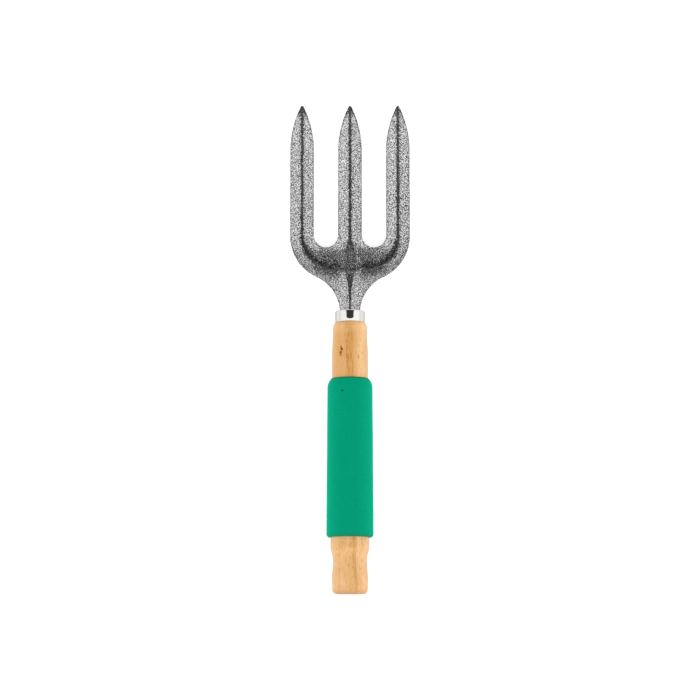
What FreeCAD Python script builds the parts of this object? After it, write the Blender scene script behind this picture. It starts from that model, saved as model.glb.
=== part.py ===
import FreeCAD, Part
import math
import os

# Garden hand fork: pressed steel head with three tines, crimped ferrule, turned wooden handle, foam grip.
#
# The fork lies on its back. The handle's axis runs along +Y towards the tines, +Z is up out of the
# hollow front of the head, and the origin is under the middle of the fork, on the surface it rests on.
# A station is a distance from the butt of the handle, along its axis.

# Driving dimensions, in millimetres unless a name says otherwise.
LENGTH = 320.0
SHEET = 2.0

TINE_PITCH = 31.4
TINE_WIDTH = 15.6
TIP_LENGTH = 30.5
TIP_NOSE_HALF_WIDTH = 1.1
TIP_NOSE_LENGTH = 0.8
SLOT_BOTTOM = 226.0
CORNER_RADIUS = 32.0
CORNER_STATION = 233.5
NECK_HALF_WIDTH = 6.5
NECK_STATION = 179.7

TANG_END = 114.0
TANG_TIP_STATION = 120.0
TANG_TIP_HALF_WIDTH = 2.2
TANG_SHOULDER_STATION = 175.0
TANG_SHOULDER_HALF_WIDTH = 5.0

BUTT_FACE_RADIUS = 8.6
BUTT_ROUNDING = 2.8
KNOB_STATION = 9.0
KNOB_RADIUS = 11.58
WAIST_STATION = 20.0
WAIST_RADIUS = 10.92
FLARE_STATION = 25.3
FLARE_RADIUS = 11.45
REAR_STATION = 30.0
REAR_RADIUS = 12.42
FRONT_TAPER_START = 138.5
FRONT_TAPER_END = 153.0
FRONT_RADIUS = 11.6
NOSE_STATION = 167.0
NOSE_ROUNDING_STATION = 170.5
NOSE_RADIUS = 11.05
NOSE_ROUNDING = 5.9

GRIP_START = 36.0
GRIP_REAR_ROUNDING = 2.1
GRIP_REAR_RADIUS = 15.06
GRIP_FRONT_STATION = 132.0
GRIP_FRONT_RADIUS = 14.47
GRIP_FRONT_ROUNDING = 8.0
GRIP_FRONT_LIP = 0.3

FERRULE_START = 174.25
FERRULE_END = 182.0
FERRULE_RADIUS = 9.88
FERRULE_WALL = 0.8
FERRULE_CRIMP = 0.4
FERRULE_CRIMP_LENGTH = 1.8
FERRULE_TOP_ROUNDING = 1.4
FERRULE_LIP_HOLE_RADIUS = 8.3

# Pressed relief of the head. A slope is a rise over a run.
TINE_CURVE_RADIUS = 500.0
TINE_LOWEST = 250.0
CRANK_START = 181.0
CRANK_END = 226.0
TANG_DROP = 1.7
TANG_RISE = 2.0
TINE_SLOPE = 0.44
NECK_SLOPE = 0.55
NECK_SLOPE_START = 186.0
NECK_SLOPE_END = 212.0
PALM_SHARE = 0.28
PALM_START = 211.5
PALM_END = 223.0
PALM_FADE_IN = 6.0
PALM_FADE_OUT = 13.0
VALLEY_HALF_WIDTH = 2.5
VALLEY_TAPER_START = 194.0
VALLEY_TAPER_END = 233.0
TINE_CREASE_ROUNDING = 1.2
NECK_CREASE_ROUNDING = 0.5
GROOVE_RADIUS = 23.0
RIDGE_SHARPNESS = 3.0
TIP_FLAT_START = 312.0
TIP_FLAT_END = 319.5

# Worked out from the driving dimensions.
AXIS_HEIGHT = GRIP_REAR_RADIUS
HALF_TINE = TINE_WIDTH / 2
SLOT_RADIUS = (TINE_PITCH - TINE_WIDTH) / 2
SLOT_STATION = SLOT_BOTTOM + SLOT_RADIUS
HEAD_HALF_WIDTH = TINE_PITCH + HALF_TINE
TIP_START = LENGTH - TIP_LENGTH
CORNER_CENTRE_X = HEAD_HALF_WIDTH - CORNER_RADIUS
GROOVE_CENTRE_X = TINE_PITCH - GROOVE_RADIUS
GROOVE_STATION = PALM_START + GROOVE_RADIUS

# Region that the relief is worked out over, and the spacing of its points.
RELIEF_HALF_WIDTH = 42.0
RELIEF_START = 110.0
RELIEF_END = 326.0
DETAIL_START = 178.0
DETAIL_END = 238.0
CREASE_BAND = 4.0
FINE_STEP = 0.5
DETAIL_STEP = 1.5
COARSE_STEP = 6.0
BLANK_LOW = -5.0
BLANK_HEIGHT = 45.0


def place(x, station, z):
    """A point of the fork in the row frame."""
    return FreeCAD.Vector(x, station - LENGTH / 2, z)


def ease(start, end, value):
    """0 before start, 1 after end, with level ends."""
    share = min(1.0, max(0.0, (value - start) / (end - start)))
    return share * share * (3 - 2 * share)


def mix(low, high, share):
    return low + (high - low) * share


def spaced(start, end, step):
    """Evenly spaced values from start up to, and without, end."""
    count = max(1, round((end - start) / step))
    return [start + (end - start) * i / count for i in range(count)]


def line(a, b):
    return Part.LineSegment(a, b).toShape()


def arc(a, middle, b):
    return Part.Arc(a, middle, b).toShape()


# Head: relief


def spine_height(station):
    """Height of the front face along its middle: tang, cranked neck, then the tines' long curve."""
    tang = AXIS_HEIGHT - TANG_DROP + TANG_RISE * (FERRULE_END - station) / (FERRULE_END - TANG_END)
    tines = SHEET + (station - TINE_LOWEST) ** 2 / (2 * TINE_CURVE_RADIUS)
    return mix(tang, tines, ease(CRANK_START, CRANK_END, station))


def fold_slope(station):
    """Slope of the folded sides: steepest in the neck, gentler on the tines and none at their points."""
    slope = mix(NECK_SLOPE, TINE_SLOPE, ease(NECK_SLOPE_START, NECK_SLOPE_END, station))
    return slope * (1 - ease(TIP_FLAT_START, TIP_FLAT_END, station))


def crease_rounding(station):
    """The crease is sharp in the neck and wider from the palm up."""
    share = ease(NECK_SLOPE_START, NECK_SLOPE_END, station)
    return mix(NECK_CREASE_ROUNDING, TINE_CREASE_ROUNDING, share)


def tine_share(station):
    """1 along the tines, where both sides of a groove are folded up, and low in the flat palm."""
    return mix(PALM_SHARE, 1.0, ease(PALM_END, PALM_END + PALM_FADE_OUT, station))


def neck_share(station):
    """1 in the neck and 0 in the palm."""
    return 1 - ease(PALM_START - PALM_FADE_IN, PALM_START, station)


def valley_half_width(station):
    """Half the width of the middle valley's flat floor, widest where it crosses the palm."""
    opening = ease(VALLEY_TAPER_START, PALM_START, station)
    closing = ease(PALM_END, VALLEY_TAPER_END, station)
    return VALLEY_HALF_WIDTH * opening * (1 - closing)


def groove_offset(x, station):
    """Distance outwards from the groove that runs down an outer tine and round into the palm."""
    side = abs(x)
    if station >= GROOVE_STATION:
        return side - TINE_PITCH
    if side <= GROOVE_CENTRE_X:
        return PALM_START - station
    return math.hypot(side - GROOVE_CENTRE_X, GROOVE_STATION - station) - GROOVE_RADIUS


def rise(distance, slope, rounding):
    """Height of a folded side at a distance from its crease, which has a rounded bottom."""
    return slope * (math.hypot(distance, rounding) - rounding)


def lower_of(a, b):
    """The lower of two folded sides, blended along the ridge where they meet."""
    total = (a**RIDGE_SHARPNESS + b**RIDGE_SHARPNESS) ** (1 / RIDGE_SHARPNESS)
    return a * b / total if total > 0 else 0.0


def front_height(x, station):
    """Height of the head's front face."""
    slope = fold_slope(station)
    rounding = crease_rounding(station)
    offset = groove_offset(x, station)
    outer_share = 1.0 if offset > 0 else tine_share(station)
    middle_share = max(tine_share(station), neck_share(station))
    from_valley = max(0.0, abs(x) - valley_half_width(station))
    outer = rise(offset, slope * outer_share, rounding)
    middle = rise(from_valley, slope * middle_share, rounding)
    return spine_height(station) + lower_of(outer, middle)


def front_point(x, station):
    return place(x, station, front_height(x, station))


def back_point(x, station):
    """The front point moved through the sheet's thickness, square to the front face."""
    step = 0.05
    slope_x = (front_height(x + step, station) - front_height(x - step, station)) / (2 * step)
    slope_y = (front_height(x, station + step) - front_height(x, station - step)) / (2 * step)
    normal = FreeCAD.Vector(-slope_x, -slope_y, 1.0).normalize()
    return front_point(x, station) - normal * SHEET


def relief_face(point_at):
    """One smooth face through the points that point_at gives over the whole relief."""
    half = spaced(0.0, CREASE_BAND, FINE_STEP) + spaced(CREASE_BAND, RELIEF_HALF_WIDTH, DETAIL_STEP)
    half.append(RELIEF_HALF_WIDTH)
    across = [-x for x in reversed(half[1:])] + half
    along = spaced(RELIEF_START, DETAIL_START, COARSE_STEP)
    along += spaced(DETAIL_START, DETAIL_END, DETAIL_STEP)
    along += spaced(DETAIL_END, RELIEF_END, COARSE_STEP) + [RELIEF_END]
    surface = Part.BSplineSurface()
    surface.interpolate([[point_at(x, station) for station in along] for x in across])
    return surface.toShape()


# Head: outline of the blank


def tine_end(x):
    """Pointed end of the tine centred at x: right flank, nose and left flank."""
    drop = HALF_TINE - TIP_NOSE_HALF_WIDTH
    length = TIP_LENGTH - TIP_NOSE_LENGTH
    radius = (length**2 + drop**2) / (2 * drop)
    half_length = length / 2
    half_drop = radius - math.sqrt(radius**2 - half_length**2)

    def flank(side):
        base = place(x + side * HALF_TINE, TIP_START, 0)
        bulge = place(x + side * (HALF_TINE - half_drop), TIP_START + half_length, 0)
        nose = place(x + side * TIP_NOSE_HALF_WIDTH, LENGTH - TIP_NOSE_LENGTH, 0)
        return base, bulge, nose

    right = flank(1)
    left = flank(-1)
    return [
        arc(*right),
        arc(right[2], place(x, LENGTH, 0), left[2]),
        arc(*reversed(left)),
    ]


def slot(x):
    """Round-ended gap between two tines, centred at x, down one side and up the other."""
    left = place(x - SLOT_RADIUS, SLOT_STATION, 0)
    right = place(x + SLOT_RADIUS, SLOT_STATION, 0)
    return [
        line(place(x - SLOT_RADIUS, TIP_START, 0), left),
        arc(left, place(x, SLOT_BOTTOM, 0), right),
        line(right, place(x + SLOT_RADIUS, TIP_START, 0)),
    ]


def shoulder(side):
    """One side of the blank from the tang's tip out to the base of an outer tine's point."""
    gap = CORNER_STATION - NECK_STATION
    reach = CORNER_CENTRE_X - NECK_HALF_WIDTH
    neck_radius = (gap**2 + reach**2 - CORNER_RADIUS**2) / (2 * (CORNER_RADIUS + reach))
    neck_x = NECK_HALF_WIDTH + neck_radius
    turn = math.atan2(gap, neck_x - CORNER_CENTRE_X)

    def on_neck(angle):
        x = neck_x - neck_radius * math.cos(angle)
        return place(side * x, NECK_STATION + neck_radius * math.sin(angle), 0)

    def on_corner(angle):
        x = CORNER_CENTRE_X + CORNER_RADIUS * math.cos(angle)
        return place(side * x, CORNER_STATION - CORNER_RADIUS * math.sin(angle), 0)

    tang_tip = place(side * TANG_TIP_HALF_WIDTH, TANG_TIP_STATION, 0)
    tang_shoulder = place(side * TANG_SHOULDER_HALF_WIDTH, TANG_SHOULDER_STATION, 0)
    return [
        line(place(0, TANG_END, 0), tang_tip),
        line(tang_tip, tang_shoulder),
        line(tang_shoulder, on_neck(0)),
        arc(on_neck(0), on_neck(turn / 2), on_neck(turn)),
        arc(on_corner(turn), on_corner(turn / 2), on_corner(0)),
        line(on_corner(0), place(side * HEAD_HALF_WIDTH, TIP_START, 0)),
    ]


def blank():
    """The flat outline of the head, raised into a block that the relief is cut from."""
    edges = shoulder(1) + shoulder(-1)
    for x in (-TINE_PITCH, 0.0, TINE_PITCH):
        edges += tine_end(x)
    for x in (-TINE_PITCH / 2, TINE_PITCH / 2):
        edges += slot(x)
    outline = Part.Wire(Part.__sortEdges__(edges))
    outline.translate(FreeCAD.Vector(0, 0, BLANK_LOW))
    return Part.Face(outline).extrude(FreeCAD.Vector(0, 0, BLANK_HEIGHT))


def fork_head():
    above = relief_face(front_point).extrude(FreeCAD.Vector(0, 0, 2 * BLANK_HEIGHT))
    below = relief_face(back_point).extrude(FreeCAD.Vector(0, 0, -2 * BLANK_HEIGHT))
    return blank().cut(above).cut(below)


# Round parts. A profile is a list of edges through (station, radius) points, turned about the axis.


def on_profile(station, radius):
    return place(0, station, AXIS_HEIGHT + radius)


def runs(*points):
    """Straight edges through (station, radius) points."""
    return [line(on_profile(*a), on_profile(*b)) for a, b in zip(points, points[1:])]


def rounded(station, radius, rounding, start_degrees, end_degrees):
    """Arc about the centre (station, radius). Its angles run from +Y towards the outside."""

    def at(degrees):
        turn = math.radians(degrees)
        return on_profile(station + rounding * math.cos(turn), radius + rounding * math.sin(turn))

    return [arc(at(start_degrees), at((start_degrees + end_degrees) / 2), at(end_degrees))]


def smooth(*points):
    """A smooth curve through (station, radius) points that leaves and arrives along the axis."""
    along = FreeCAD.Vector(0, 1, 0)
    curve = Part.BSplineCurve()
    curve.interpolate(Points=[on_profile(*p) for p in points], InitialTangent=along, FinalTangent=along)
    return [curve.toShape()]


def turned(edges):
    face = Part.Face(Part.Wire(Part.__sortEdges__(edges)))
    return face.revolve(place(0, 0, AXIS_HEIGHT), FreeCAD.Vector(0, 1, 0), 360)


def taper_radius(station):
    """Radius of the handle's long taper, which the grip is fitted over."""
    return mix(REAR_RADIUS, FRONT_RADIUS, (station - REAR_STATION) / (FRONT_TAPER_START - REAR_STATION))


def ferrule_bore():
    """The ferrule's inside, from its crimped edge to its turned-in lip, as three profile points."""
    radius = FERRULE_RADIUS - FERRULE_WALL
    return [
        (FERRULE_START, radius - FERRULE_CRIMP),
        (FERRULE_START + FERRULE_CRIMP_LENGTH, radius),
        (FERRULE_END - FERRULE_WALL, radius),
    ]


def handle():
    """Turned handle: knob, waist, long taper, rounded nose, and a spigot that fills the ferrule."""
    butt_radius = BUTT_FACE_RADIUS + BUTT_ROUNDING
    bore = ferrule_bore()
    nose_drop_deg = math.degrees(math.asin((FERRULE_START - NOSE_ROUNDING_STATION) / NOSE_ROUNDING))
    nose_end = NOSE_RADIUS - NOSE_ROUNDING * (1 - math.cos(math.radians(nose_drop_deg)))
    edges = runs((0, 0), (0, BUTT_FACE_RADIUS))
    edges += rounded(BUTT_ROUNDING, BUTT_FACE_RADIUS, BUTT_ROUNDING, 180, 90)
    edges += smooth(
        (BUTT_ROUNDING, butt_radius),
        (KNOB_STATION, KNOB_RADIUS),
        (WAIST_STATION, WAIST_RADIUS),
        (FLARE_STATION, FLARE_RADIUS),
        (REAR_STATION, REAR_RADIUS),
    )
    edges += runs(
        (REAR_STATION, REAR_RADIUS),
        (FRONT_TAPER_START, FRONT_RADIUS),
        (FRONT_TAPER_END, FRONT_RADIUS),
    )
    edges += smooth((FRONT_TAPER_END, FRONT_RADIUS), (NOSE_STATION, NOSE_RADIUS))
    edges += runs((NOSE_STATION, NOSE_RADIUS), (NOSE_ROUNDING_STATION, NOSE_RADIUS))
    edges += rounded(
        NOSE_ROUNDING_STATION, NOSE_RADIUS - NOSE_ROUNDING, NOSE_ROUNDING, 90, 90 - nose_drop_deg
    )
    edges += runs((FERRULE_START, nose_end), *bore, (bore[-1][0], 0), (0, 0))
    return turned(edges)


def ferrule():
    """Metal ring with its lower edge crimped in and its upper edge turned in round the neck."""
    crimped_radius = FERRULE_RADIUS - FERRULE_CRIMP
    crimp_end = FERRULE_START + FERRULE_CRIMP_LENGTH
    top = FERRULE_END - FERRULE_TOP_ROUNDING
    bore = ferrule_bore()
    edges = smooth((FERRULE_START, crimped_radius), (crimp_end, FERRULE_RADIUS))
    edges += runs((crimp_end, FERRULE_RADIUS), (top, FERRULE_RADIUS))
    edges += rounded(top, FERRULE_RADIUS - FERRULE_TOP_ROUNDING, FERRULE_TOP_ROUNDING, 90, 0)
    edges += runs(
        (FERRULE_END, FERRULE_RADIUS - FERRULE_TOP_ROUNDING),
        (FERRULE_END, FERRULE_LIP_HOLE_RADIUS),
        (bore[-1][0], FERRULE_LIP_HOLE_RADIUS),
        *reversed(bore),
        (FERRULE_START, crimped_radius),
    )
    return turned(edges)


def foam_grip():
    """Foam sleeve stretched over the handle's taper, with a small rear edge and a soft front end."""
    rear = GRIP_START + GRIP_REAR_ROUNDING
    rear_centre = GRIP_REAR_RADIUS - GRIP_REAR_ROUNDING
    front_centre = GRIP_FRONT_RADIUS - GRIP_FRONT_ROUNDING
    lip_radius = FRONT_RADIUS + GRIP_FRONT_LIP
    end_angle = math.asin((lip_radius - front_centre) / GRIP_FRONT_ROUNDING)
    end = GRIP_FRONT_STATION + GRIP_FRONT_ROUNDING * math.cos(end_angle)
    edges = runs(
        (end, lip_radius),
        (end, taper_radius(end)),
        (GRIP_START, taper_radius(GRIP_START)),
        (GRIP_START, rear_centre),
    )
    edges += rounded(rear, rear_centre, GRIP_REAR_ROUNDING, 180, 90)
    edges += runs((rear, GRIP_REAR_RADIUS), (GRIP_FRONT_STATION, GRIP_FRONT_RADIUS))
    edges += rounded(
        GRIP_FRONT_STATION, front_centre, GRIP_FRONT_ROUNDING, 90, math.degrees(end_angle)
    )
    return turned(edges)


def save(name, shape):
    """Writes one sub-part and prints what it is."""
    shape.exportStep(f"parts/{name}.step")
    print(f"{name}: {len(shape.Solids)} solid, valid {shape.isValid()}, {shape.Volume / 1000:.2f} cm3")


def main():
    os.makedirs("parts", exist_ok=True)
    head = fork_head()
    save("fork_head", head)
    save("ferrule", ferrule())
    save("handle", handle().cut(head))
    save("foam_grip", foam_grip())


main()
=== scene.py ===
import math

import bmesh
import bpy
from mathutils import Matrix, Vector, geometry, kdtree, noise


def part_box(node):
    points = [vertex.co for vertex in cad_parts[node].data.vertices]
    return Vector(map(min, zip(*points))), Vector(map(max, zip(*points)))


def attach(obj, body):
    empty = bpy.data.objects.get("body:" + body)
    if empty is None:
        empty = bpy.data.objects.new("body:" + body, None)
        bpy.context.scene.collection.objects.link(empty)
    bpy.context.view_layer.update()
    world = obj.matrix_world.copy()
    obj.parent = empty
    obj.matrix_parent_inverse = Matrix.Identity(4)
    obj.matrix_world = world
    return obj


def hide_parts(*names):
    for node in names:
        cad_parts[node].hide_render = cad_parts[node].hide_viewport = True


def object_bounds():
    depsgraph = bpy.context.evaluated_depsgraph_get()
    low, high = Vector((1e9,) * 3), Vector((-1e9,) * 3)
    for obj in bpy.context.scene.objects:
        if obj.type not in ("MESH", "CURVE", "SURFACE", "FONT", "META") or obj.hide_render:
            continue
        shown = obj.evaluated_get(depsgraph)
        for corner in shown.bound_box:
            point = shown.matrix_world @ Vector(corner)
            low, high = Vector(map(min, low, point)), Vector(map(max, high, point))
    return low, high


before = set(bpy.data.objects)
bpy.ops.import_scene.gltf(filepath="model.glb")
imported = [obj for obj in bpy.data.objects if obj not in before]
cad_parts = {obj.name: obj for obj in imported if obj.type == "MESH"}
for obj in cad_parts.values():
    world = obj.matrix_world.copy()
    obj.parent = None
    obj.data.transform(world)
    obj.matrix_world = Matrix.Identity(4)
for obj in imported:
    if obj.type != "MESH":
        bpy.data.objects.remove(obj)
cad_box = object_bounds()

# Lengths are in millimetres up to the last step of each piece, which turns them into metres.
MM = 0.001

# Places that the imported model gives. A station is a distance from the butt along the handle's axis.
LOW, HIGH = (corner / MM for corner in cad_box)
LENGTH = HIGH.y - LOW.y
BUTT = LOW.y


def node_box(name):
    """Lowest and highest corner of a CAD node, in millimetres."""
    return tuple(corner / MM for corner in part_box(name))


HEAD_LOW, HEAD_HIGH = node_box("fork_head")
FERRULE_LOW, FERRULE_HIGH = node_box("ferrule")
GRIP_LOW, GRIP_HIGH = node_box("foam_grip")
AXIS_HEIGHT = (GRIP_LOW.z + GRIP_HIGH.z) / 2
FERRULE_START = FERRULE_LOW.y - BUTT
FERRULE_END = FERRULE_HIGH.y - BUTT
GRIP_START = GRIP_LOW.y - BUTT
GRIP_END = GRIP_HIGH.y - BUTT

# Head outline.
HEAD_HALF_WIDTH = HEAD_HIGH.x
TINE_WIDTH = 15.6
HALF_TINE = TINE_WIDTH / 2
TINE_PITCH = HEAD_HALF_WIDTH - HALF_TINE
SLOT_RADIUS = (TINE_PITCH - TINE_WIDTH) / 2
SLOT_BOTTOM = 226.0
TIP_LENGTH = 30.5
TIP_NOSE_HALF_WIDTH = 1.1
TIP_NOSE_LENGTH = 0.8
CORNER_RADIUS = 32.0
CORNER_STATION = 233.5
NECK_HALF_WIDTH = 6.5
NECK_STATION = 179.7
TANG_END = HEAD_LOW.y - BUTT
TANG_TIP_STATION = 120.0
TANG_TIP_HALF_WIDTH = 2.2
TANG_SHOULDER_STATION = 175.0
TANG_SHOULDER_HALF_WIDTH = 5.0

# Head relief. A slope is a rise over a run.
SHEET = 2.0
TINE_CURVE_RADIUS = 500.0
TINE_LOWEST = 250.0
CRANK_START = 181.0
CRANK_END = 226.0
TANG_DROP = 1.7
TANG_RISE = 2.0
TINE_SLOPE = 0.44
NECK_SLOPE = 0.55
NECK_SLOPE_START = 186.0
NECK_SLOPE_END = 212.0
PALM_SHARE = 0.28
PALM_START = 211.5
PALM_END = 223.0
PALM_FADE_IN = 6.0
PALM_FADE_OUT = 13.0
VALLEY_HALF_WIDTH = 2.5
VALLEY_TAPER_START = 194.0
VALLEY_TAPER_END = 233.0
TINE_CREASE_ROUNDING = 1.2
NECK_CREASE_ROUNDING = 0.5
GROOVE_RADIUS = 23.0
GROOVE_CENTRE_X = TINE_PITCH - GROOVE_RADIUS
GROOVE_STATION = PALM_START + GROOVE_RADIUS
RIDGE_SHARPNESS = 3.0
TIP_FLAT_START = 312.0
TIP_FLAT_END = 319.5

# Fineness of the head's mesh.
OUTLINE_STEP = 0.7
GRID_STEP = 0.8
FINE_GRID_STEP = 0.4
FINE_BAND = 3.0
NARROW_GRID_STEP = 0.2
NARROW_BAND = 1.0
EDGE_ROUNDING = 0.7
EDGE_RING_DISTANCES = (0.0, 0.10, 0.32, 0.75)
GRID_CLEARANCE = EDGE_RING_DISTANCES[-1] + 0.45 * GRID_STEP
TANG_INSET_LENGTH = 3.0
TANG_INSET_LEAST = 0.05
SLOPE_STEP = 0.05

# Painted shade in the creases, over these half-widths. The mesh holds how much.
NECK_SHADE_REACH = 1.4
TINE_SHADE_REACH = 1.8
ARC_SHADE_REACH = 4.4
ARC_SHADE_FADE = 4.0
FLOOR_SHADE_SHARE = 0.4
# The groove's painted shade is lighter where it crosses the palm, between these distances from the
# middle.
MIDDLE_SHADE_SHARE = 0.58
MIDDLE_SHADE_START = GROOVE_CENTRE_X - 4
MIDDLE_SHADE_END = GROOVE_CENTRE_X + 6
# The head is also darker towards the tines' points, between these stations.
POINT_DARK_SHARE = 0.95
POINT_DARK_START = LENGTH - 11
POINT_DARK_END = LENGTH - 1
# A fringe of painted dark reflection lies on the palm's butt side. Its rise and fall are distances from
# the middle, and across is a distance from the groove.
FRINGE_SHARE = 0.8
FRINGE_RISE = (4, 9)
FRINGE_FALL = (20, 28)
FRINGE_ACROSS = (2, 11)
PAINTED_SHADE = "painted_shade"


def ease(start, end, value):
    """0 before start, 1 after end, with level ends."""
    share = min(1.0, max(0.0, (value - start) / (end - start)))
    return share * share * (3 - 2 * share)


def mix(low, high, share):
    return low + (high - low) * share


# Head: height of the pressed front face


def spine_height(station):
    """Height along the head's middle: tang, cranked neck, then the tines' long curve."""
    tang = AXIS_HEIGHT - TANG_DROP + TANG_RISE * (FERRULE_END - station) / (FERRULE_END - TANG_END)
    tines = SHEET + (station - TINE_LOWEST) ** 2 / (2 * TINE_CURVE_RADIUS)
    return mix(tang, tines, ease(CRANK_START, CRANK_END, station))


def fold_slope(station):
    """Slope of the folded sides: steepest in the neck, gentler on the tines and none at their points."""
    slope = mix(NECK_SLOPE, TINE_SLOPE, ease(NECK_SLOPE_START, NECK_SLOPE_END, station))
    return slope * (1 - ease(TIP_FLAT_START, TIP_FLAT_END, station))


def crease_rounding(station):
    share = ease(NECK_SLOPE_START, NECK_SLOPE_END, station)
    return mix(NECK_CREASE_ROUNDING, TINE_CREASE_ROUNDING, share)


def tine_share(station):
    """1 along the tines, where both sides of a groove are folded up, and low in the flat palm."""
    return mix(PALM_SHARE, 1.0, ease(PALM_END, PALM_END + PALM_FADE_OUT, station))


def neck_share(station):
    return 1 - ease(PALM_START - PALM_FADE_IN, PALM_START, station)


def valley_half_width(station):
    """Half the width of the middle valley's flat floor, widest where it crosses the palm."""
    opening = ease(VALLEY_TAPER_START, PALM_START, station)
    closing = ease(PALM_END, VALLEY_TAPER_END, station)
    return VALLEY_HALF_WIDTH * opening * (1 - closing)


def groove_offset(x, station):
    """Distance outwards from the groove that runs down an outer tine and round into the palm."""
    side = abs(x)
    if station >= GROOVE_STATION:
        return side - TINE_PITCH
    if side <= GROOVE_CENTRE_X:
        return PALM_START - station
    return math.hypot(side - GROOVE_CENTRE_X, GROOVE_STATION - station) - GROOVE_RADIUS


def rise(distance, slope, rounding):
    """Height of a folded side at a distance from its crease, which has a rounded bottom."""
    return slope * (math.hypot(distance, rounding) - rounding)


def lower_of(a, b):
    """The lower of two folded sides, blended along the ridge where they meet."""
    total = (a**RIDGE_SHARPNESS + b**RIDGE_SHARPNESS) ** (1 / RIDGE_SHARPNESS)
    return a * b / total if total > 0 else 0.0


def fold_height(x, station):
    """Height of the folded sides above the bottom of the creases."""
    slope = fold_slope(station)
    rounding = crease_rounding(station)
    offset = groove_offset(x, station)
    outer_share = 1.0 if offset > 0 else tine_share(station)
    middle_share = max(tine_share(station), neck_share(station))
    from_valley = max(0.0, abs(x) - valley_half_width(station))
    outer = rise(offset, slope * outer_share, rounding)
    middle = rise(from_valley, slope * middle_share, rounding)
    return lower_of(outer, middle)


def front_height(x, station):
    return spine_height(station) + fold_height(x, station)


def upright_thickness(x, station):
    """How thick the sheet is straight up and down, which is more where it slopes."""
    step = SLOPE_STEP
    slope_x = (front_height(x + step, station) - front_height(x - step, station)) / (2 * step)
    slope_y = (front_height(x, station + step) - front_height(x, station - step)) / (2 * step)
    return SHEET * math.sqrt(1 + slope_x**2 + slope_y**2)


# Head: outline


def arc_points(centre_x, centre_station, radius, start, end):
    """Points along an arc, without its last one. The angles are in radians, from +X towards the tips."""
    count = max(2, math.ceil(abs(end - start) * radius / OUTLINE_STEP))
    angles = [mix(start, end, i / count) for i in range(count)]
    return [
        Vector((centre_x + radius * math.cos(angle), centre_station + radius * math.sin(angle)))
        for angle in angles
    ]


def line_points(start, end):
    """Points along a straight line, without its last one."""
    start, end = Vector(start), Vector(end)
    count = max(1, math.ceil((end - start).length / OUTLINE_STEP))
    return [start.lerp(end, i / count) for i in range(count)]


def tine_flank():
    """Radius of the arc along each side of a tine's point, and the angle that it turns through."""
    drop = HALF_TINE - TIP_NOSE_HALF_WIDTH
    length = TIP_LENGTH - TIP_NOSE_LENGTH
    radius = (length**2 + drop**2) / (2 * drop)
    return radius, math.asin(length / radius)


def tine_point(centre):
    """Outline of the end of the tine centred at x = centre, from its right side to its left."""
    radius, turn = tine_flank()
    start = LENGTH - TIP_LENGTH
    nose_start = LENGTH - TIP_NOSE_LENGTH
    half = TIP_NOSE_HALF_WIDTH
    nose_radius = (half**2 + TIP_NOSE_LENGTH**2) / (2 * TIP_NOSE_LENGTH)
    nose_turn = math.atan2(nose_start - (LENGTH - nose_radius), half)
    points = arc_points(centre + HALF_TINE - radius, start, radius, 0, turn)
    points += arc_points(centre, LENGTH - nose_radius, nose_radius, nose_turn, math.pi - nose_turn)
    points += arc_points(centre - HALF_TINE + radius, start, radius, math.pi - turn, math.pi)
    return points


def slot_points(centre):
    """Outline of the gap centred at x = centre, from its right side round its bottom to its left."""
    top = LENGTH - TIP_LENGTH
    bottom = SLOT_BOTTOM + SLOT_RADIUS
    points = line_points((centre + SLOT_RADIUS, top), (centre + SLOT_RADIUS, bottom))
    points += arc_points(centre, bottom, SLOT_RADIUS, 0, -math.pi)
    points += line_points((centre - SLOT_RADIUS, bottom), (centre - SLOT_RADIUS, top))
    return points


def shoulder_points():
    """Outline of the right side, from the tang's end out to the start of the outer tine's point."""
    centre_x = HEAD_HALF_WIDTH - CORNER_RADIUS
    gap = CORNER_STATION - NECK_STATION
    reach = centre_x - NECK_HALF_WIDTH
    neck_radius = (gap**2 + reach**2 - CORNER_RADIUS**2) / (2 * (CORNER_RADIUS + reach))
    neck_x = NECK_HALF_WIDTH + neck_radius
    turn = math.atan2(gap, neck_x - centre_x)
    tip = (TANG_TIP_HALF_WIDTH, TANG_TIP_STATION)
    tang_shoulder = (TANG_SHOULDER_HALF_WIDTH, TANG_SHOULDER_STATION)
    points = line_points((0, TANG_END), tip)
    points += line_points(tip, tang_shoulder)
    points += line_points(tang_shoulder, (NECK_HALF_WIDTH, NECK_STATION))
    points += arc_points(neck_x, NECK_STATION, neck_radius, math.pi, math.pi - turn)
    points += arc_points(centre_x, CORNER_STATION, CORNER_RADIUS, -turn, 0)
    points += line_points((HEAD_HALF_WIDTH, CORNER_STATION), (HEAD_HALF_WIDTH, LENGTH - TIP_LENGTH))
    return points


def head_outline():
    """The whole outline, anticlockwise from the tang's end."""
    right = shoulder_points()
    points = list(right)
    points += tine_point(TINE_PITCH)
    points += slot_points(TINE_PITCH / 2)
    points += tine_point(0)
    points += slot_points(-TINE_PITCH / 2)
    points += tine_point(-TINE_PITCH)
    points.append(Vector((-HEAD_HALF_WIDTH, LENGTH - TIP_LENGTH)))
    points += [Vector((-p.x, p.y)) for p in reversed(right[1:])]
    return points


def inset(outline, distance):
    """The outline moved inwards by a distance, which is less near the sharp end of the tang."""
    count = len(outline)
    moved = []
    for i, point in enumerate(outline):
        before = (point - outline[i - 1]).normalized()
        after = (outline[(i + 1) % count] - point).normalized()
        along = (before + after).normalized()
        inwards = Vector((-along.y, along.x))
        share = min(1.0, TANG_INSET_LEAST + (point.y - TANG_END) / TANG_INSET_LENGTH)
        moved.append(point + inwards * distance * share)
    return moved


def columns():
    """Places of the grid's columns: close together over the three grooves."""
    half = []
    x = 0.0
    while x < HEAD_HALF_WIDTH:
        half.append(x)
        from_groove = min(x, abs(x - TINE_PITCH))
        if from_groove < NARROW_BAND:
            x += NARROW_GRID_STEP
        elif from_groove < FINE_BAND:
            x += FINE_GRID_STEP
        else:
            x += GRID_STEP
    return [-x for x in reversed(half[1:])] + half


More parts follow.
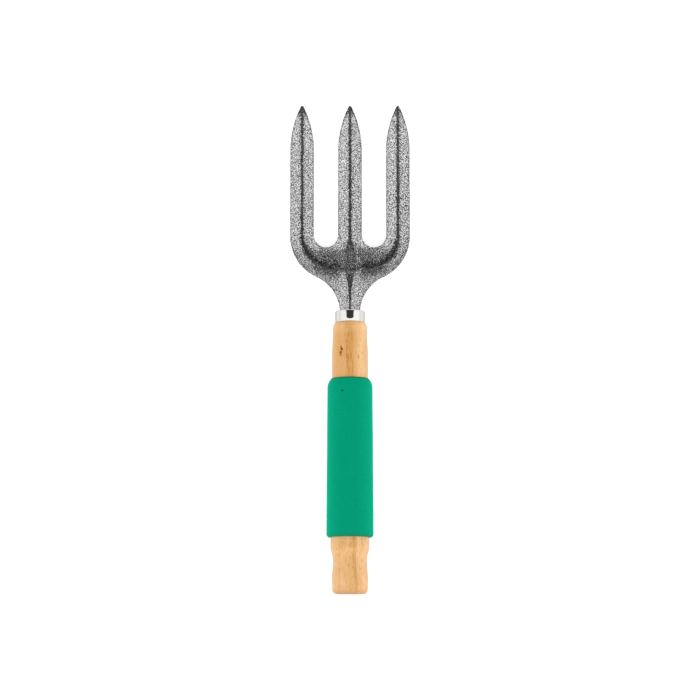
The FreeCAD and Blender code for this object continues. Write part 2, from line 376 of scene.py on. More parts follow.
def head_plan():
    """Flat mesh of the head: rings of points along the outline, with a grid inside them."""
    outline = head_outline()
    rings = [inset(outline, distance) for distance in EDGE_RING_DISTANCES]
    tree = kdtree.KDTree(len(outline))
    for i, point in enumerate(outline):
        tree.insert((point.x, point.y, 0), i)
    tree.balance()
    inner = rings[-1]
    rows = int((LENGTH - TANG_END) / GRID_STEP)
    grid = []
    for row in range(rows):
        station = TANG_END + row * GRID_STEP
        for x in columns():
            _, _, from_outline = tree.find((x, station, 0))
            if from_outline > GRID_CLEARANCE:
                grid.append(Vector((x, station)))
    loop = [(i, (i + 1) % len(inner)) for i in range(len(inner))]
    points, _, faces, *_ = geometry.delaunay_2d_cdt(inner + grid, loop, [], 1, 1e-5)
    return rings, points, faces


def edge_drop(distance):
    """How far the rounded edge of the sheet falls away at a distance from the outline."""
    share = max(0.0, 1 - distance / EDGE_ROUNDING)
    return EDGE_ROUNDING * (1 - math.sqrt(max(0.0, 1 - share**2)))


def painted_shade_share(x, station):
    """Painted shade: 1 at the bottom of a crease, 0 on the folded sides, with a painted dark reflection
    on the fringe.
    """
    floor = valley_half_width(station)
    valley_shade_reach = mix(NECK_SHADE_REACH, TINE_SHADE_REACH, ease(NECK_SLOPE_START, PALM_START, station))
    in_valley = 1 - ease(0, valley_shade_reach, max(0.0, abs(x) - floor))
    valley_share = mix(1.0, FLOOR_SHADE_SHARE, floor / VALLEY_HALF_WIDTH)
    groove_shade_reach = mix(ARC_SHADE_REACH, TINE_SHADE_REACH, ease(PALM_END, GROOVE_STATION + ARC_SHADE_FADE, station))
    in_groove = 1 - ease(0, groove_shade_reach, abs(groove_offset(x, station)))
    in_middle = 1 - ease(MIDDLE_SHADE_START, MIDDLE_SHADE_END, abs(x))
    groove_share = mix(1.0, MIDDLE_SHADE_SHARE, in_middle)
    on_point = POINT_DARK_SHARE * ease(POINT_DARK_START, POINT_DARK_END, station)
    along_fringe = ease(*FRINGE_RISE, abs(x)) * (1 - ease(*FRINGE_FALL, abs(x)))
    across_fringe = 1 - ease(*FRINGE_ACROSS, groove_offset(x, station))
    before_palm = 1 - ease(PALM_START, PALM_END, station)
    on_fringe = FRINGE_SHARE * along_fringe * across_fringe * before_palm
    return max(in_valley * valley_share, in_groove * groove_share, on_point, on_fringe)


def build_head():
    rings, points, faces = head_plan()
    count = len(rings[0])
    used = {i for face in faces for i in face}
    mesh = bmesh.new()
    painted_shade = mesh.verts.layers.float.new(PAINTED_SHADE)

    def vertex(point, side, distance):
        x, station = point
        top = front_height(x, station)
        if side > 0:
            z = top - edge_drop(distance)
        else:
            z = top - upright_thickness(x, station) + edge_drop(distance)
        made = mesh.verts.new(Vector((x, station + BUTT, z)) * MM)
        # The front face's points carry how much shade is painted on them.
        if side > 0:
            made[painted_shade] = painted_shade_share(x, station)
        return made

    sides = {}
    for side in (1, -1):
        ring_vertices = [
            [vertex(p, side, d) for p in ring] for ring, d in zip(rings[:-1], EDGE_RING_DISTANCES)
        ]
        inner = {i: vertex(points[i], side, EDGE_RING_DISTANCES[-1]) for i in sorted(used)}
        ring_vertices.append([inner[i] for i in range(count)])
        for face in faces:
            corners = [inner[i] for i in face]
            mesh.faces.new(corners if side > 0 else reversed(corners))
        for outer, nearer in zip(ring_vertices, ring_vertices[1:]):
            for i in range(count):
                j = (i + 1) % count
                corners = [outer[i], outer[j], nearer[j], nearer[i]]
                mesh.faces.new(corners if side > 0 else reversed(corners))
        sides[side] = ring_vertices[0]
    top, bottom = sides[1], sides[-1]
    for i in range(count):
        j = (i + 1) % count
        mesh.faces.new([bottom[i], bottom[j], top[j], top[i]])
    bmesh.ops.join_triangles(mesh, faces=mesh.faces, angle_face_threshold=0.3, angle_shape_threshold=0.7)
    bmesh.ops.recalc_face_normals(mesh, faces=mesh.faces)
    return finish_mesh(mesh, "pressed_head")


def finish_mesh(mesh, name):
    """Makes an object of a bmesh, smooth all over."""
    for face in mesh.faces:
        face.smooth = True
    data = bpy.data.meshes.new(name)
    mesh.to_mesh(data)
    mesh.free()
    piece = bpy.data.objects.new(name, data)
    bpy.context.scene.collection.objects.link(piece)
    return piece


# Round parts. A profile is a list of (station, radius) points.


def fillet(station, radius, rounding, start_degrees, end_degrees, count):
    """Profile points on an arc of radius rounding about (station, radius), angles from +Y outwards."""
    points = []
    for i in range(count + 1):
        turn = math.radians(mix(start_degrees, end_degrees, i / count))
        points.append((station + rounding * math.cos(turn), radius + rounding * math.sin(turn)))
    return points


def stretch(radius_at, start, end, step):
    """Profile points along a radius function, without the last one."""
    count = max(1, round((end - start) / step))
    stations = [mix(start, end, i / count) for i in range(count)]
    return [(station, radius_at(station)) for station in stations]


def turned(name, profile, segments, swell, closed):
    """Turns a profile about the axis. swell gives a small change of radius at (station, angle)."""
    mesh = bmesh.new()
    rings = []
    for station, radius in profile:
        if radius == 0:
            rings.append([mesh.verts.new(Vector((0, station + BUTT, AXIS_HEIGHT)) * MM)])
            continue
        ring = []
        for i in range(segments):
            angle = 2 * math.pi * i / segments
            reach = radius + swell(station, angle)
            x = reach * math.sin(angle)
            z = AXIS_HEIGHT + reach * math.cos(angle)
            ring.append(mesh.verts.new(Vector((x, station + BUTT, z)) * MM))
        rings.append(ring)
    pairs = list(zip(rings, rings[1:]))
    if closed:
        pairs.append((rings[-1], rings[0]))
    for first, second in pairs:
        for i in range(segments):
            j = (i + 1) % segments
            corners = [first[i % len(first)], first[j % len(first)]]
            corners += [second[j % len(second)], second[i % len(second)]]
            mesh.faces.new(dict.fromkeys(corners))
    bmesh.ops.recalc_face_normals(mesh, faces=mesh.faces)
    return finish_mesh(mesh, name)


NOISE_RADIUS = 12


def unevenness(size, amount, seed):
    """A gentle change of radius that varies over a length of about size."""

    def at(station, angle):
        place = Vector((math.sin(angle) * NOISE_RADIUS, station, math.cos(angle) * NOISE_RADIUS)) / size
        return amount * noise.noise(place + Vector((seed, 0, 0)))

    return at


# Handle profile.
BUTT_FACE_RADIUS = 8.6
BUTT_ROUNDING = 2.8
KNOB_STATION = 9.0
KNOB_RADIUS = 11.58
WAIST_STATION = 20.0
WAIST_RADIUS = 10.92
REAR_STATION = 30.0
REAR_RADIUS = 12.42
FRONT_TAPER_START = 138.5
FRONT_TAPER_END = 153.0
FRONT_RADIUS = 11.6
NOSE_STATION = 167.0
NOSE_ROUNDING_STATION = 170.5
NOSE_RADIUS = 11.05
NOSE_ROUNDING = 5.9
SPIGOT_RADIUS = 9.0
SPIGOT_END = FERRULE_END - 0.85
SPIGOT_EDGE = 0.2
# The turned mesh is fine where the wood is bare, from a little inside each end of the sleeve.
BARE_REAR_END = GRIP_START + 4
BARE_FRONT_START = GRIP_END - 6
BARE_STEP = 0.5
COVERED_STEP = 5.0
HANDLE_SEGMENTS = 144


def handle_radius(station):
    """Radius of the turned handle between its rounded butt and its rounded nose."""
    if station < KNOB_STATION:
        share = ease(BUTT_ROUNDING, KNOB_STATION, station)
        return mix(BUTT_FACE_RADIUS + BUTT_ROUNDING, KNOB_RADIUS, share)
    if station < WAIST_STATION:
        return mix(KNOB_RADIUS, WAIST_RADIUS, ease(KNOB_STATION, WAIST_STATION, station))
    if station < REAR_STATION:
        return mix(WAIST_RADIUS, REAR_RADIUS, ease(WAIST_STATION, REAR_STATION, station) ** 2)
    if station < FRONT_TAPER_START:
        share = (station - REAR_STATION) / (FRONT_TAPER_START - REAR_STATION)
        return mix(REAR_RADIUS, FRONT_RADIUS, share)
    return mix(FRONT_RADIUS, NOSE_RADIUS, ease(FRONT_TAPER_END, NOSE_STATION, station))


def build_handle():
    nose_turn = math.degrees(math.asin((FERRULE_START - NOSE_ROUNDING_STATION) / NOSE_ROUNDING))
    nose_centre = NOSE_RADIUS - NOSE_ROUNDING
    profile = [(0, 0), (0, 3), (0, 6), (0, 8), (0, BUTT_FACE_RADIUS - 0.2)]
    profile += fillet(BUTT_ROUNDING, BUTT_FACE_RADIUS, BUTT_ROUNDING, 180, 90, 10)[:-1]
    profile += stretch(handle_radius, BUTT_ROUNDING, REAR_STATION, BARE_STEP)
    profile += stretch(handle_radius, REAR_STATION, BARE_REAR_END, 0.8)
    profile += stretch(handle_radius, BARE_REAR_END, BARE_FRONT_START, COVERED_STEP)
    profile += stretch(handle_radius, BARE_FRONT_START, NOSE_ROUNDING_STATION, BARE_STEP)
    profile += fillet(NOSE_ROUNDING_STATION, nose_centre, NOSE_ROUNDING, 90, 90 - nose_turn, 12)
    profile += [(FERRULE_START + 0.1, SPIGOT_RADIUS - 0.4), (FERRULE_START + 1.8, SPIGOT_RADIUS)]
    profile += [(SPIGOT_END - SPIGOT_EDGE, SPIGOT_RADIUS), (SPIGOT_END, SPIGOT_RADIUS - SPIGOT_EDGE)]
    profile += [(SPIGOT_END, 0)]
    return turned("turned_handle", profile, HANDLE_SEGMENTS, unevenness(14, 0.05, 3), closed=False)


# Ferrule profile.
FERRULE_RADIUS = FERRULE_HIGH.x
FERRULE_WALL = 0.8
FERRULE_LOWER_RADIUS = FERRULE_RADIUS - 0.43
FERRULE_CRIMP_START = FERRULE_START - 1.2
FERRULE_CRIMP_END = FERRULE_START + 2.2
FERRULE_CRIMP = 1.55 * (FERRULE_RADIUS - 0.1 - FERRULE_LOWER_RADIUS)
FERRULE_LOWER_CROWN = 0.09
FERRULE_UPPER_CROWN = 0.16
FERRULE_TOP_ROUNDING = 1.4
FERRULE_LIP_HOLE_RADIUS = 8.2
FERRULE_LIP_EDGE = 0.15
FERRULE_EDGE = 0.12
FERRULE_SEGMENTS = 192


def ferrule_radius(station):
    """Outer radius: drawn in towards the wood below, and very slightly crowned above."""
    crimp = FERRULE_CRIMP * (1 - ease(FERRULE_CRIMP_START, FERRULE_CRIMP_END, station))
    share = min(1.0, (station - FERRULE_START) / (FERRULE_END - FERRULE_START))
    crown = FERRULE_LOWER_CROWN * (1 - share) + FERRULE_UPPER_CROWN * share**4
    return FERRULE_RADIUS - crimp - crown


def build_ferrule():
    top = FERRULE_END - FERRULE_TOP_ROUNDING
    edge_centre = ferrule_radius(FERRULE_START) - FERRULE_EDGE
    top_centre = ferrule_radius(top) - FERRULE_TOP_ROUNDING
    profile = fillet(FERRULE_START + FERRULE_EDGE, edge_centre, FERRULE_EDGE, 180, 95, 4)
    profile += stretch(ferrule_radius, FERRULE_START + 2 * FERRULE_EDGE, top, 0.22)
    profile += fillet(top, top_centre, FERRULE_TOP_ROUNDING, 90, 0, 10)
    profile += [
        (FERRULE_END, FERRULE_LIP_HOLE_RADIUS + FERRULE_LIP_EDGE),
        (FERRULE_END - FERRULE_LIP_EDGE, FERRULE_LIP_HOLE_RADIUS),
        (FERRULE_END - FERRULE_WALL, FERRULE_LIP_HOLE_RADIUS),
        (FERRULE_END - FERRULE_WALL, FERRULE_RADIUS - FERRULE_WALL),
        (FERRULE_CRIMP_END, FERRULE_RADIUS - FERRULE_WALL),
        (FERRULE_START, FERRULE_LOWER_RADIUS - FERRULE_WALL),
    ]
    return turned("ferrule_ring", profile, FERRULE_SEGMENTS, unevenness(9, 0.012, 11), closed=True)


# Foam grip profile.
GRIP_REAR_RADIUS = GRIP_HIGH.x
GRIP_REAR_ROUNDING = 2.1
GRIP_FRONT_STATION = 132.0
GRIP_FRONT_RADIUS = 14.47
GRIP_FRONT_ROUNDING = 8.0
GRIP_FRONT_LIP = 0.3
GRIP_SQUEEZE = 0.05
GRIP_SEGMENTS = 160


def grip_radius(station):
    share = (station - GRIP_START) / (GRIP_FRONT_STATION - GRIP_START)
    return mix(GRIP_REAR_RADIUS, GRIP_FRONT_RADIUS, share)


def grip_bore(station):
    """Inner radius: the sleeve sinks slightly into the wood, so that no gap shows at its ends."""
    return handle_radius(station) - GRIP_SQUEEZE


def build_grip():
    rear = GRIP_START + GRIP_REAR_ROUNDING
    front_centre = GRIP_FRONT_RADIUS - GRIP_FRONT_ROUNDING
    lip_radius = FRONT_RADIUS + GRIP_FRONT_LIP
    end_turn = math.degrees(math.asin((lip_radius - front_centre) / GRIP_FRONT_ROUNDING))
    rear_hole = grip_bore(GRIP_START)
    profile = [
        (GRIP_START + 0.5, rear_hole),
        (GRIP_START + 0.12, rear_hole + 0.2),
        (GRIP_START, rear_hole + 0.5),
    ]
    profile += fillet(rear, GRIP_REAR_RADIUS - GRIP_REAR_ROUNDING, GRIP_REAR_ROUNDING, 180, 90, 10)[:-1]
    profile += stretch(grip_radius, rear, GRIP_FRONT_STATION, 0.8)
    profile += fillet(GRIP_FRONT_STATION, front_centre, GRIP_FRONT_ROUNDING, 90, end_turn, 16)
    profile += [(GRIP_END, grip_bore(GRIP_END) + 0.1), (GRIP_END - 0.2, grip_bore(GRIP_END))]
    profile += reversed(stretch(grip_bore, GRIP_START + 2, GRIP_END - 1, 6.0))
    return turned("foam_sleeve", profile, GRIP_SEGMENTS, unevenness(16, 0.10, 7), closed=True)


# Materials. Shader lengths are in millimetres, from the object coordinates.


def add(tree, kind, inputs=None, **settings):
    """Adds a node, fills its inputs with values or links, and gives its first output."""
    node = tree.nodes.new(kind)
    for name, value in settings.items():
        setattr(node, name, value)
    for socket, value in (inputs or {}).items():
        if isinstance(value, bpy.types.NodeSocket):
            tree.links.new(value, node.inputs[socket])
        else:
            node.inputs[socket].default_value = value
    return node.outputs[0]


def calc(tree, operation, a, b=0.0):
    return add(tree, "ShaderNodeMath", {0: a, 1: b}, operation=operation)


def between(tree, value, low, high, start=0.0, end=1.0):
    """Turns low..high into start..end, held level outside and eased at both ends."""
    inputs = {"Value": value, "From Min": low, "From Max": high, "To Min": start, "To Max": end}
    return add(tree, "ShaderNodeMapRange", inputs, interpolation_type="SMOOTHSTEP")


def blend_colour(tree, share, first, second):
    """Mixes two colours. Each is a link or three linear values."""
    node = tree.nodes.new("ShaderNodeMix")
    node.data_type = "RGBA"
    for index, value in ((0, share), (6, first), (7, second)):
        if isinstance(value, bpy.types.NodeSocket):
            tree.links.new(value, node.inputs[index])
        else:
            node.inputs[index].default_value = (*value, 1.0) if index else value
    return node.outputs[2]


def grain(tree, place, scale, detail=2.0, roughness=0.5, distortion=0.0):
    inputs = {
        "Vector": place,
        "Scale": scale,
        "Detail": detail,
        "Roughness": roughness,
        "Distortion": distortion,
    }
    return add(tree, "ShaderNodeTexNoise", inputs)


def scaled_place(tree, scale, offset=(0.0, 0.0, 0.0)):
    """Object coordinates in millimetres, moved by offset and then multiplied by scale."""
    node = tree.nodes.new("ShaderNodeTexCoord")
    in_millimetres = add(
        tree,
        "ShaderNodeVectorMath",
        {0: node.outputs["Object"], 1: (1 / MM, 1 / MM, 1 / MM), 2: offset},
        operation="MULTIPLY_ADD",
    )
    return add(tree, "ShaderNodeVectorMath", {0: in_millimetres, 1: scale}, operation="MULTIPLY")


def coordinate(tree, axis):
    """One object coordinate, in millimetres."""
    split = tree.nodes.new("ShaderNodeSeparateXYZ")
    tree.links.new(scaled_place(tree, (1.0, 1.0, 1.0)), split.inputs[0])
    return split.outputs[axis]


def spot(tree, x, station, half_width, half_length):
    """1 in the middle of an oval on the upper side, fading to 0 at its edge."""
    offset = (-x, -(station + BUTT), 0.0)
    place = scaled_place(tree, (1 / half_width, 1 / half_length, 0.0), offset)
    distance = tree.nodes.new("ShaderNodeVectorMath")
    distance.operation = "LENGTH"
    tree.links.new(place, distance.inputs[0])
    up = between(tree, coordinate(tree, "Z"), AXIS_HEIGHT, AXIS_HEIGHT + 1)
    return calc(tree, "MULTIPLY", between(tree, distance.outputs["Value"], 1.0, 0.35), up)


def new_material(name, roughness, metallic=0.0):
    material = bpy.data.materials.new(name)
    material.use_nodes = True
    tree = material.node_tree
    shader = tree.nodes["Principled BSDF"]
    shader.inputs["Roughness"].default_value = roughness
    shader.inputs["Metallic"].default_value = metallic
    return material, tree, shader


def set_bump(tree, shader, height, depth):
    """Bump from a height of 0 to 1 that stands for depth millimetres."""
    normal = add(tree, "ShaderNodeBump", {"Height": height, "Distance": depth * MM, "Strength": 1.0})
    tree.links.new(normal, shader.inputs["Normal"])


PAINT_ROUGHNESS = 0.16
PAINT_METALLIC = 0.85
PAINT_TURN = (0.7, 0.5, 0.3)
VEIN_SCALE = 1.9
VEIN_LEVELS = (0.37, 0.61)
VEIN_COLOUR = (0.008, 0.008, 0.009)
FLAKE_COLOUR = (0.70, 0.70, 0.71)
SHADED_VEIN_COLOUR = (0.002, 0.002, 0.002)
SHADED_FLAKE_COLOUR = (0.10, 0.10, 0.105)
SHADE_NOISE_SCALE = 0.9
SHADE_RAGGEDNESS = 2.6
PAINT_BUMP_SCALE = 1.2
PAINT_BUMP = 0.36


def paint_material():
    """Hammered silver-grey enamel: fine dark veins between pale flakes, with painted shade in the creases
    and a painted dark reflection.
    """
    material, tree, shader = new_material("hammered_enamel", PAINT_ROUGHNESS, PAINT_METALLIC)
    # The pattern is turned, so that the head's faces don't lie along the noise's own grid.
    turn = {"Vector": scaled_place(tree, (1.0, 1.0, 1.0)), "Rotation": PAINT_TURN}
    place = add(tree, "ShaderNodeVectorRotate", turn, rotation_type="EULER_XYZ")
    veins = grain(tree, place, VEIN_SCALE, 1.0, 0.5)
    pattern = between(tree, veins, *VEIN_LEVELS)
    colour = blend_colour(tree, pattern, VEIN_COLOUR, FLAKE_COLOUR)
    # Painted shade: darker veins and flakes where the mesh says so, with ragged edges.
    shaded_colour = blend_colour(tree, pattern, SHADED_VEIN_COLOUR, SHADED_FLAKE_COLOUR)
    shade_share = add(tree, "ShaderNodeAttribute", attribute_name=PAINTED_SHADE).node.outputs["Fac"]
    shade_noise = grain(tree, place, SHADE_NOISE_SCALE, 2.0, 0.6)
    ragged = calc(tree, "MULTIPLY", calc(tree, "SUBTRACT", shade_noise, 0.5), SHADE_RAGGEDNESS)
    shade_share = between(tree, calc(tree, "SUBTRACT", shade_share, ragged), 0.15, 0.85, 0.0, 0.95)
    colour = blend_colour(tree, shade_share, colour, shaded_colour)
    tree.links.new(colour, shader.inputs["Base Color"])
    flakes = grain(tree, place, PAINT_BUMP_SCALE, 1.0, 0.5)
    height = calc(tree, "ADD", flakes, calc(tree, "MULTIPLY", pattern, 0.1))
    set_bump(tree, shader, height, PAINT_BUMP)
    return material


CHROME_COLOUR = (0.60, 0.588, 0.575)
CHROME_SIDE_SHADE_COLOUR = (0.30, 0.295, 0.29)
CHROME_ROUGHNESS = 0.10
CHROME_BUMP = 0.002
# Painted shade on the sides, which are darker than the top: fully so at the axis's height and below it,
# and not at all from this far above it.
CHROME_SIDE_SHADE_FADE = 8.0


def chrome_material():
    """Polished chrome plate with faint turning lines and painted shade on its sides."""
    material, tree, shader = new_material("polished_chrome", CHROME_ROUGHNESS, 1.0)
    height = coordinate(tree, "Z")
    # Painted shade on the sides, below and a little above the axis's height.
    painted_side_shade = between(tree, height, AXIS_HEIGHT + CHROME_SIDE_SHADE_FADE, AXIS_HEIGHT, 0.0, 0.95)
    colour = blend_colour(tree, painted_side_shade, CHROME_COLOUR, CHROME_SIDE_SHADE_COLOUR)
    tree.links.new(colour, shader.inputs["Base Color"])
    lines = grain(tree, scaled_place(tree, (0.15, 6.0, 0.15)), 1.0, 2.0, 0.6)
    set_bump(tree, shader, lines, CHROME_BUMP)
    return material


# Tints across the front end of the handle, from its left side to its right, at these x.
# These are the wood's own tones, darkened towards the right edge with painted shade.
WOOD_TINTS_AND_EDGE_SHADE = (
    (-11.5, (0.64, 0.33, 0.135)),
    (-9.0, (0.65, 0.325, 0.090)),
    (-6.0, (0.69, 0.345, 0.100)),
    (-4.0, (0.70, 0.375, 0.125)),
    (-1.0, (0.71, 0.38, 0.120)),
    (2.0, (0.71, 0.38, 0.120)),
    (4.5, (0.77, 0.44, 0.180)),
    (6.0, (0.84, 0.50, 0.215)),
    (8.0, (0.86, 0.55, 0.255)),
    (10.0, (0.71, 0.41, 0.190)),
    (11.5, (0.67, 0.35, 0.170)),
)
WOOD_HALF_WIDTH = 13.0
PALE_WOOD = (0.83, 0.50, 0.235)
GOLDEN_WOOD = (0.68, 0.345, 0.085)
BAND_WOOD = (0.63, 0.30, 0.065)
DARK_WOOD = (0.46, 0.19, 0.025)
KNOT_WOOD = (0.14, 0.036, 0.004)
HALO_WOOD = (0.66, 0.24, 0.08)
END_WOOD = (0.18, 0.10, 0.035)
WOOD_SIDE_SHADE = (0.44, 0.25, 0.12)
# As on the chrome, how far above the axis's height the painted shade on the sides starts.
WOOD_SIDE_SHADE_FADE = 7.0
WOOD_ROUGHNESS = 0.42
LACQUER_ROUGHNESS = 0.28
LACQUER_WEIGHT = 0.25
LACQUER_SPECULAR = 0.5
WOOD_BUMP = 0.02
# A warm halo round the knot: x, station, half-width and half-length.
KNOT_HALO = (-5.7, 154.0, 2.4, 5.0)
# The two halves of the knot with their tails, then two small marks to the right.
# Each is x, station, half-width, half-length and strength.
KNOT_MARKS = (
    (-5.3, 155.8, 1.0, 1.3, 0.95),
    (-5.9, 153.8, 1.0, 1.2, 0.85),
    (-6.1, 152.2, 0.8, 1.5, 0.5),
    (-5.8, 157.2, 0.9, 1.4, 0.45),
    (5.6, 150.8, 0.5, 2.0, 0.45),
    (8.0, 153.5, 0.5, 1.2, 0.3),
)


def tints_and_edge_shade_across(tree, x):
    """The tint at x, with painted shade towards the right edge; x runs from -WOOD_HALF_WIDTH to
    WOOD_HALF_WIDTH.
    """
    ramp = tree.nodes.new("ShaderNodeValToRGB")
    stops = ramp.color_ramp.elements
    while len(stops) < len(WOOD_TINTS_AND_EDGE_SHADE):
        stops.new(1.0)
    for stop, (place, colour) in zip(stops, WOOD_TINTS_AND_EDGE_SHADE):
        stop.position = (place + WOOD_HALF_WIDTH) / (2 * WOOD_HALF_WIDTH)
        stop.color = (*colour, 1.0)
    share = calc(tree, "MULTIPLY", calc(tree, "ADD", x, WOOD_HALF_WIDTH), 1 / (2 * WOOD_HALF_WIDTH))
    tree.links.new(share, ramp.inputs[0])
    return ramp.outputs[0]


def add_streaks(tree, colour):
    """Long golden and pale streaks."""
    streaks = grain(tree, scaled_place(tree, (0.50, 0.022, 0.50)), 1.0, 3.0, 0.6, 0.3)
    colour = blend_colour(tree, between(tree, streaks, 0.48, 0.66, 0.0, 0.45), colour, GOLDEN_WOOD)
    return blend_colour(tree, between(tree, streaks, 0.44, 0.30, 0.0, 0.5), colour, PALE_WOOD)


def add_band(tree, colour, x, y, sway):
    """The dark band along the whole length. It drifts to the left and widens towards the ferrule."""
    drift = calc(tree, "MULTIPLY", y, 0.0262)
    from_band = calc(tree, "ADD", calc(tree, "ADD", calc(tree, "ADD", x, 1.0), drift), sway)
    half_width = calc(tree, "ADD", calc(tree, "MULTIPLY", y, 0.013), 3.1)
    across = calc(tree, "DIVIDE", from_band, half_width)
    band = between(tree, calc(tree, "ABSOLUTE", across), 1.1, 0.7)
    colour = blend_colour(tree, calc(tree, "MULTIPLY", band, 0.6), colour, BAND_WOOD)
    flicker = grain(tree, scaled_place(tree, (0.25, 0.09, 0.25), (9.0, 0.0, 0.0)), 1.0, 2.0, 0.6)
    wave = calc(tree, "ADD", calc(tree, "MULTIPLY", across, 1.3), calc(tree, "MULTIPLY", flicker, 3.2))
    wave = calc(tree, "SINE", calc(tree, "MULTIPLY", wave, 2 * math.pi))
    line = calc(tree, "MULTIPLY", between(tree, wave, 0.35, 1.0), calc(tree, "MULTIPLY", band, 0.9))
    return blend_colour(tree, line, colour, DARK_WOOD)


def add_flecks(tree, colour):
    """Short darker and paler flecks."""
    flecks = grain(tree, scaled_place(tree, (1.1, 0.35, 1.1), (4.0, 0.0, 2.0)), 1.0, 3.0, 0.7)
    colour = blend_colour(tree, between(tree, flecks, 0.50, 0.66, 0.0, 0.4), colour, BAND_WOOD)
    return blend_colour(tree, between(tree, flecks, 0.44, 0.30, 0.0, 0.4), colour, PALE_WOOD)


def shade_ends(tree, colour, y, z):
    """Dark end grain at the butt, painted shade on the sides, a paler nose and a dark line at the
    ferrule.
    """
    end_grain = between(tree, y, BUTT + 3.4, BUTT + 0.4, 0.0, 0.7)
    colour = blend_colour(tree, end_grain, colour, DARK_WOOD)
    end_face = between(tree, y, BUTT + 1.0, BUTT, 0.0, 0.75)
    colour = blend_colour(tree, end_face, colour, END_WOOD)
    # Painted shade on the sides of the round wood.
    painted_side_shade = between(tree, z, AXIS_HEIGHT + WOOD_SIDE_SHADE_FADE, AXIS_HEIGHT, 0.0, 0.75)
    colour = blend_colour(tree, painted_side_shade, colour, WOOD_SIDE_SHADE)
    on_nose = between(tree, y, BUTT + NOSE_STATION - 2, BUTT + NOSE_ROUNDING_STATION + 1, 0.0, 0.4)
    colour = blend_colour(tree, on_nose, colour, PALE_WOOD)
    ferrule_y = BUTT + FERRULE_START
    at_ferrule = between(tree, y, ferrule_y - 1.2, ferrule_y - 0.2, 0.0, 0.6)
    return blend_colour(tree, at_ferrule, colour, DARK_WOOD)


def add_knots(tree, colour):
    """The colour with the knot and the small marks, and how strongly each point is marked."""
    knotted = 0.0
    for place, station, half_width, half_length, strength in KNOT_MARKS:
        mark = calc(tree, "MULTIPLY", spot(tree, place, station, half_width, half_length), strength)
        colour = blend_colour(tree, mark, colour, KNOT_WOOD)
        knotted = calc(tree, "MAXIMUM", knotted, mark)
    return colour, knotted


def wood_material():
    """Clear-lacquered pale hardwood: streaks along the grain, a dark band, pores, one small knot and
    painted shade on the sides.
    """
    material, tree, shader = new_material("lacquered_wood", WOOD_ROUGHNESS)
    shader.inputs["Coat Roughness"].default_value = LACQUER_ROUGHNESS
    x, y, z = (coordinate(tree, axis) for axis in "XYZ")
    wander = grain(tree, scaled_place(tree, (0.10, 0.055, 0.10)), 1.0, 2.0)
    sway = calc(tree, "MULTIPLY", calc(tree, "SUBTRACT", wander, 0.5), 5.0)
    colour = tints_and_edge_shade_across(tree, calc(tree, "ADD", x, sway))
    colour = blend_colour(tree, between(tree, y, -40.0, -110.0, 0.0, 0.75), colour, PALE_WOOD)
    colour = add_streaks(tree, colour)
    colour = add_band(tree, colour, x, y, sway)
    fine_streaks = grain(tree, scaled_place(tree, (1.6, 0.05, 1.6)), 1.0, 3.0, 0.6)
    colour = blend_colour(tree, between(tree, fine_streaks, 0.44, 0.62, 0.0, 0.65), colour, GOLDEN_WOOD)
    colour = add_flecks(tree, colour)
    pores = grain(tree, scaled_place(tree, (2.4, 0.30, 2.4)), 1.0, 1.0, 0.5)
    pore_line = between(tree, pores, 0.60, 0.72)
    pore_share = between(tree, y, -100.0, -130.0, 0.4, 0.75)
    colour = blend_colour(tree, calc(tree, "MULTIPLY", pore_line, pore_share), colour, DARK_WOOD)
    halo = calc(tree, "MULTIPLY", spot(tree, *KNOT_HALO), 0.6)
    colour = blend_colour(tree, halo, colour, HALO_WOOD)
    colour = shade_ends(tree, colour, y, z)
    colour, knotted = add_knots(tree, colour)
    # The knots are dull, without the lacquer's shine.
    coat = between(tree, knotted, 0.0, 0.5, LACQUER_WEIGHT, 0.0)
    specular = between(tree, knotted, 0.0, 0.5, LACQUER_SPECULAR, 0.0)
    tree.links.new(coat, shader.inputs["Coat Weight"])
    tree.links.new(specular, shader.inputs["Specular IOR Level"])
    tree.links.new(colour, shader.inputs["Base Color"])
    height = calc(tree, "SUBTRACT", calc(tree, "MULTIPLY", fine_streaks, 0.4), pore_line)
    set_bump(tree, shader, height, WOOD_BUMP)
    return material


FOAM_ROUGHNESS = 0.85
FOAM_SHEEN_TINT = (0.0, 0.55, 0.35, 1.0)
FOAM_COLOURS = ((0.0, 0.286, 0.156), (0.0, 0.305, 0.168))
FOAM_PIT_SHADE_COLOUR = (0.0, 0.16, 0.085)
FOAM_END_SHADE_COLOUR = (0.02, 0.075, 0.02)
FOAM_DUST_COLOUR = (0.10, 0.45, 0.30)
FOAM_MARK_COLOUR = (0.002, 0.06, 0.04)
FOAM_BUMP = 0.12
# Painted shade at both ends of the sleeve, where it meets the wood: the station of each, how far it
# reaches to both sides, and its share.
FOAM_END_SHADES = ((GRIP_START + 0.2, 2.6, 0.55), (GRIP_END - 0.1, 1.25, 0.95))
FOAM_END_SHADE_CORE = 0.2


